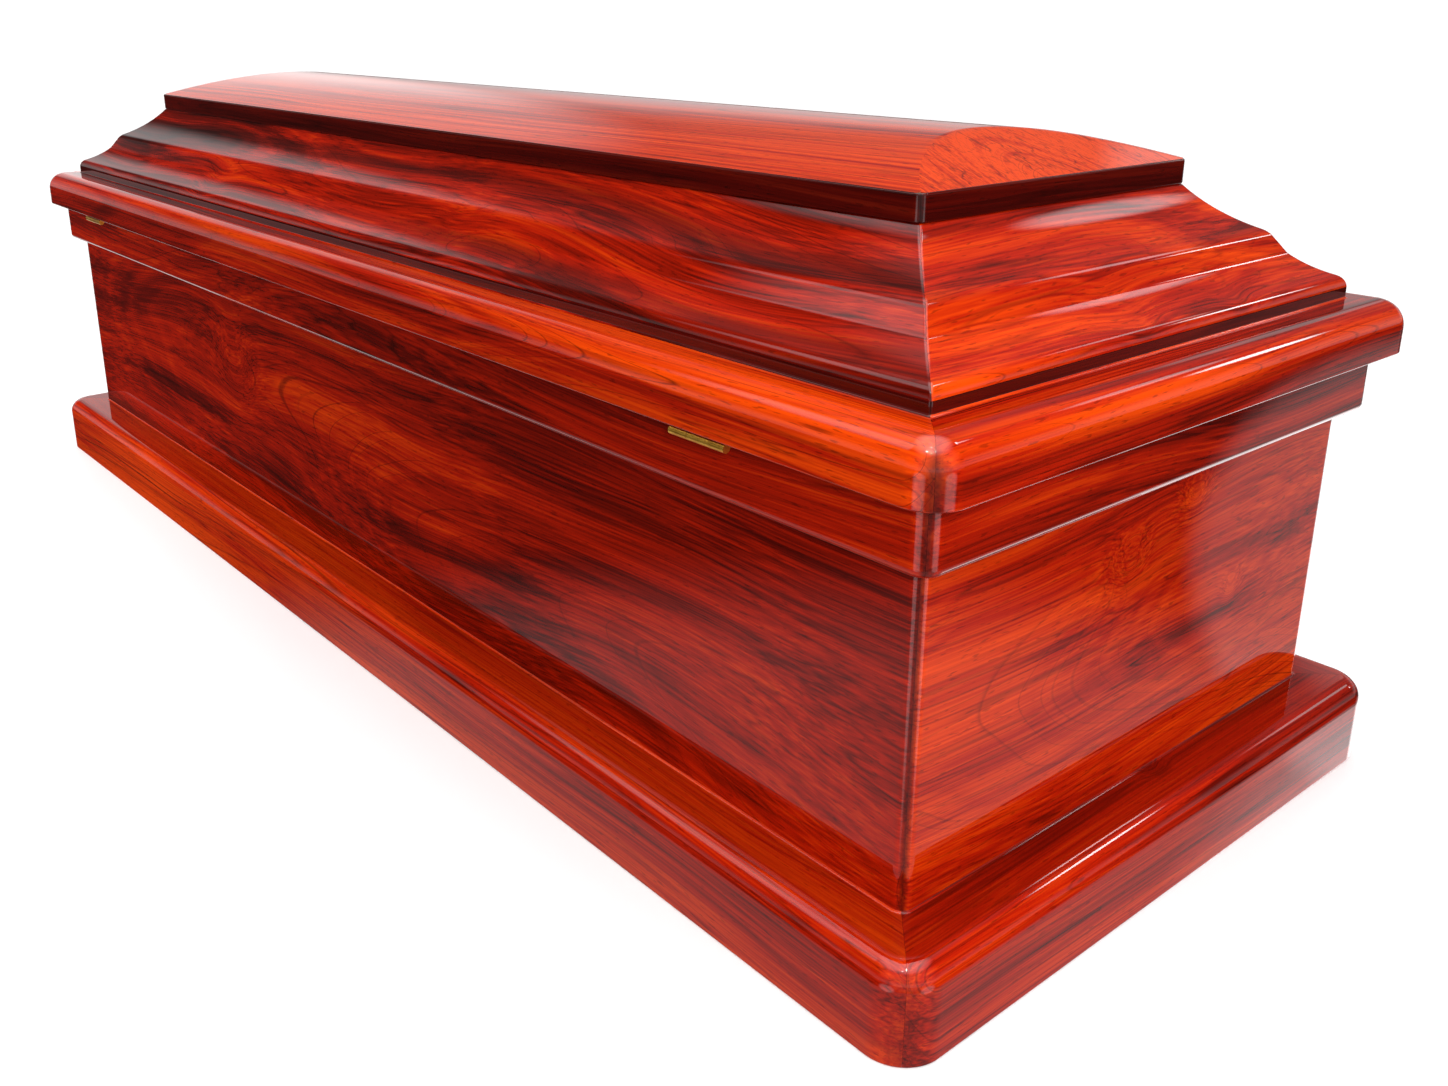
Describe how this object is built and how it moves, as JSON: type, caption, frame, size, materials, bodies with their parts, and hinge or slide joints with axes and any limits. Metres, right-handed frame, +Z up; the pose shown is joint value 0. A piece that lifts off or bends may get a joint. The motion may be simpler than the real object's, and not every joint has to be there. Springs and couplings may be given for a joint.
{
  "type": "wooden coffin",
  "caption": "Lacquered rosewood coffin with a moulded plinth and a hinged lid that rises through a cove to an arched crown.",
  "frame": {"origin": "middle of the underside", "axes": "+Z up, +X towards the head end along the length, -Y towards the hinges"},
  "size_m": [2.1, 0.776, 0.6874],
  "materials": {
    "rosewood": "high-gloss clear lacquer over red rosewood, with dark grain",
    "rosewood_dark": "high-gloss clear lacquer over dark red rosewood",
    "plain_wood": "plain sealed wood",
    "hinge_brass": "polished brass"
  },
  "bodies": {
    "case": {"floor_board": "plain_wood", "panel_hinge_side": "rosewood", "panel_back": "rosewood", "panel_head_end": "rosewood", "panel_foot_end": "rosewood", "plinth_hinge_side": "rosewood", "plinth_back": "rosewood", "plinth_head_end": "rosewood", "plinth_foot_end": "rosewood", "band_hinge_side": "rosewood", "band_back": "rosewood", "band_head_end": "rosewood", "band_foot_end": "rosewood", "hinge_head_case_leaf": "hinge_brass", "hinge_head_pin": "hinge_brass", "hinge_foot_case_leaf": "hinge_brass", "hinge_foot_pin": "hinge_brass"},
    "lid": {"rim_hinge_side": "rosewood", "rim_back": "rosewood", "rim_head_end": "rosewood", "rim_foot_end": "rosewood", "moulding_hinge_side": "rosewood", "moulding_back": "rosewood", "moulding_head_end": "rosewood", "moulding_foot_end": "rosewood", "frame_hinge_side": "rosewood_dark", "frame_back": "rosewood_dark", "frame_head_end": "rosewood_dark", "frame_foot_end": "rosewood_dark", "crown_board": "rosewood", "crown_head_end": "rosewood", "crown_foot_end": "rosewood", "hinge_head_lid_leaf": "hinge_brass", "hinge_foot_lid_leaf": "hinge_brass"}
  },
  "joints": [
    {"name": "lid_hinge", "type": "hinge", "parent": "case", "child": "lid", "pos_m": [0, -0.368, 0.457], "axis": [1, 0, 0], "range_deg": [0, 95]}
  ]
}
